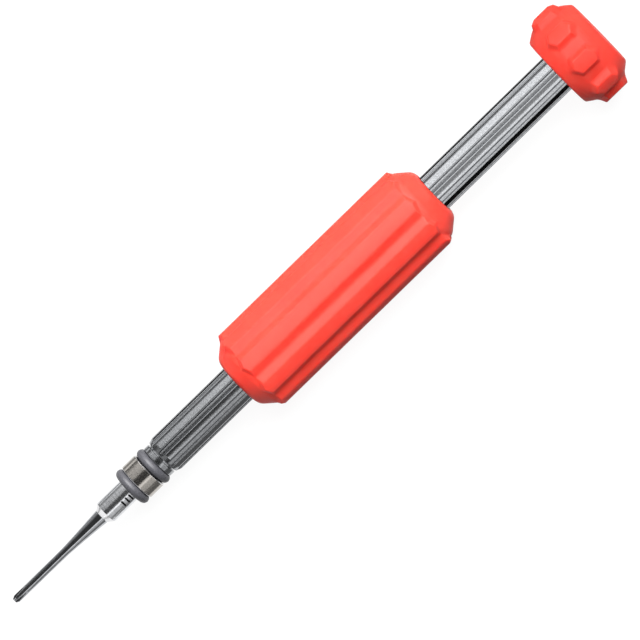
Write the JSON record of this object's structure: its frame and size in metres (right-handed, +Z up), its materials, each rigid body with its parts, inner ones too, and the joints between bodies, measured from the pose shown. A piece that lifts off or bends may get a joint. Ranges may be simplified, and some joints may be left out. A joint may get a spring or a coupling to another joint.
{
  "type": "precision screwdriver",
  "caption": "Slim precision screwdriver with a cross tip, ring magnet, fluted metal barrel, soft ribbed grip sleeve and a soft cap that swivels on a ball bearing.",
  "frame": {"origin": "centre of the blunt end of the cross tip, on the tool's axis", "axes": "+X along the tool from the tip to the cap, +Z up as the driver lies on a bench"},
  "size_m": [0.145, 0.0196, 0.0196],
  "materials": {
    "tool_steel": "satin",
    "grey_rubber": "matte",
    "nickel_plate": "polished",
    "grey_anodised": "blasted and anodised",
    "red_silicone": "soft matte",
    "bright_steel": "bright",
    "bearing_steel": "ground",
    "cage_brass": "satin",
    "spring_steel": "blackened",
    "black_plastic": "moulded"
  },
  "bodies": {
    "handle": {"driver_bit": "tool_steel", "front_o_ring": "grey_rubber", "magnet_ring": "nickel_plate", "rear_o_ring": "grey_rubber", "barrel": "grey_anodised", "grip_sleeve": "red_silicone", "bearing_spacer": "bright_steel", "spindle_screw": "bright_steel", "head_washer": "bright_steel", "bearing_inner_ring": "bearing_steel"},
    "ball_set": {"bearing_balls": "bearing_steel", "ball_cage": "cage_brass"},
    "swivel_cap": {"bearing_outer_ring": "bearing_steel", "front_shield": "bright_steel", "rear_shield": "bright_steel", "circlip": "spring_steel", "cap_core": "black_plastic", "core_plug": "black_plastic", "cap_cover": "red_silicone"}
  },
  "joints": [
    {"name": "cap_swivel", "type": "hinge", "parent": "handle", "child": "swivel_cap", "pos_m": [0.13832, 0, 0], "axis": [1, 0, 0], "continuous": true},
    {"name": "ball_roll", "type": "hinge", "parent": "handle", "child": "ball_set", "pos_m": [0.13832, 0, 0], "axis": [1, 0, 0], "continuous": true}
  ],
  "couplings": [
    {"joint": "ball_roll", "follows": "cap_swivel", "ratio": 0.6444}
  ]
}
